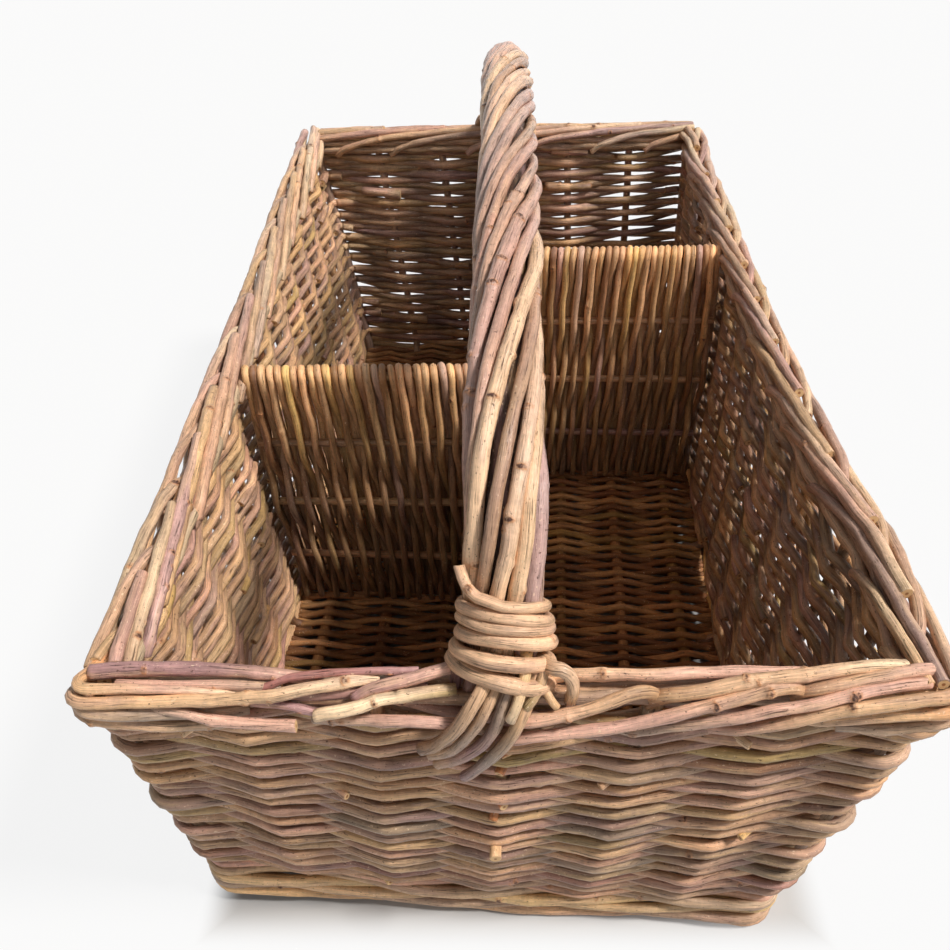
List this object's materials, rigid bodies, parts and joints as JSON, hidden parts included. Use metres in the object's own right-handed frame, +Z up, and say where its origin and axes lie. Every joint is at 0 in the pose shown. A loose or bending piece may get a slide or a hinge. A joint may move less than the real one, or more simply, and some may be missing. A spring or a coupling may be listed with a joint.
{
  "type": "divided basket",
  "caption": "Rectangular woven willow basket with flared sides, woven dividers that make open compartments, and a wrapped bow handle along its length.",
  "frame": {"origin": "on the standing surface, under the middle of the basket", "axes": "+X across the basket, +Y along its length from the front short side to the back one, +Z up"},
  "size_m": [0.3, 0.5186, 0.301],
  "materials": {
    "side_weave": "unpeeled willow weavers, grey-brown with pink and purple patches, light satin",
    "foot_wale": "yellow-tan willow rows at the foot, light satin",
    "base": "dark brown willow base weave and sticks, dull",
    "border": "thick tan and pink willow border rods with knots and pale cut ends",
    "stakes": "brown willow stakes",
    "dividers": "warm brown willow divider weave",
    "handle_bow": "thick willow bow",
    "handle_wrap": "pale pink-tan willow rods wound round the bow, satin",
    "binding": "light tan split willow binding",
    "peg": "cut willow peg, orange at its end"
  },
  "bodies": {
    "root": {"foot_wale": "foot_wale", "base_weave": "base", "base_stick_1": "base", "base_stick_2": "base", "base_stick_3": "base", "base_stick_4": "base", "base_stick_5": "base", "base_stick_6": "base", "base_stick_7": "base", "front_stake_1": "stakes", "front_stake_2": "stakes", "front_stake_3": "stakes", "front_stake_4": "stakes", "back_stake_1": "stakes", "back_stake_2": "stakes", "back_stake_3": "stakes", "back_stake_4": "stakes", "left_stake_1": "stakes", "left_stake_2": "stakes", "left_stake_3": "stakes", "left_stake_4": "stakes", "left_stake_5": "stakes", "left_stake_6": "stakes", "left_stake_7": "stakes", "left_stake_8": "stakes", "left_stake_9": "stakes", "left_stake_10": "stakes", "left_stake_11": "stakes", "right_stake_1": "stakes", "right_stake_2": "stakes", "right_stake_3": "stakes", "right_stake_4": "stakes", "right_stake_5": "stakes", "right_stake_6": "stakes", "right_stake_7": "stakes", "right_stake_8": "stakes", "right_stake_9": "stakes", "right_stake_10": "stakes", "right_stake_11": "stakes", "front_left_corner_post": "stakes", "front_right_corner_post": "stakes", "back_left_corner_post": "stakes", "back_right_corner_post": "stakes", "side_weave": "side_weave", "front_border": "border", "back_border": "border", "left_border": "border", "right_border": "border", "center_divider": "dividers", "left_divider": "dividers", "right_divider": "dividers", "center_divider_stick": "dividers", "left_divider_stick": "dividers", "right_divider_stick": "dividers", "handle_bow": "handle_bow", "handle_wrap": "handle_wrap", "front_binding": "binding", "back_binding": "binding", "front_peg": "peg", "back_peg": "peg"}
  },
  "joints": []
}
